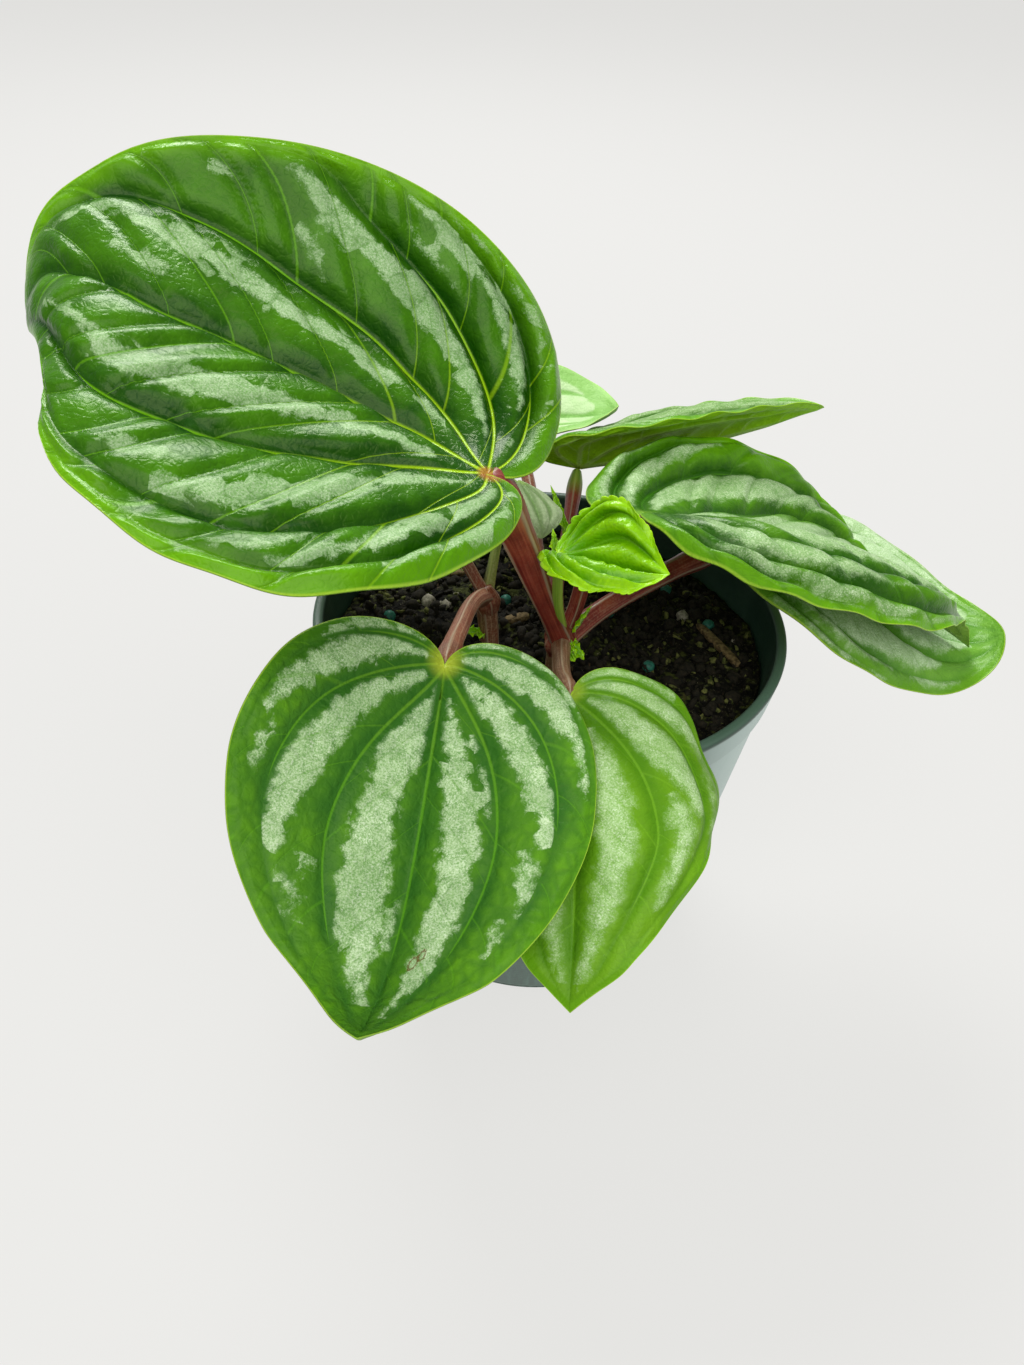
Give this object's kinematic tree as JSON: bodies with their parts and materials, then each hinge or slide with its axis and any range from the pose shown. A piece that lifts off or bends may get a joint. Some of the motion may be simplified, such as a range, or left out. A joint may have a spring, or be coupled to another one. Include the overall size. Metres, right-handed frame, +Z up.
{
  "type": "potted peperomia",
  "caption": "Small house plant with broad striped leaves on fleshy red stalks, growing in dark potting mix in a tapered plastic nursery pot.",
  "frame": {"origin": "centre of the pot's flat underside", "axes": "+Z up along the pot's axis; -Y is the side that faces the viewer in the picture, so +X is the viewer's right"},
  "size_m": [0.1914, 0.1715, 0.1737],
  "materials": {
    "pot_plastic": "satin dark green plastic, slightly scuffed",
    "potting_mix": "rough, damp and lumpy",
    "leaf_dark_silver": "glossy green between silver bands",
    "leaf_pale_silver": "satin green under broad grainy silver bands",
    "leaf_under_green": "satin olive green",
    "leaf_young": "glossy lime green",
    "leaf_small_silver": "satin silver grey",
    "stalk_red": "glossy red with pale ridges",
    "stalk_brown": "glossy red brown with pale ridges",
    "stalk_green": "glossy yellow green",
    "bud_green": "satin fresh green"
  },
  "bodies": {
    "root": {"pot": "pot_plastic", "soil": "potting_mix", "leaf_upper_left": "leaf_dark_silver", "leaf_right": "leaf_dark_silver", "leaf_front_left": "leaf_pale_silver", "leaf_front_right": "leaf_pale_silver", "leaf_right_under": "leaf_pale_silver", "leaf_back": "leaf_pale_silver", "leaf_back_right": "leaf_under_green", "leaf_left_under": "leaf_under_green", "leaf_small_centre": "leaf_small_silver", "leaf_new": "leaf_young", "right_shoot": "stalk_red", "left_shoot": "stalk_brown", "young_shoot": "stalk_green", "bud_right_crown": "bud_green", "bud_left_crown": "bud_green"}
  },
  "joints": []
}
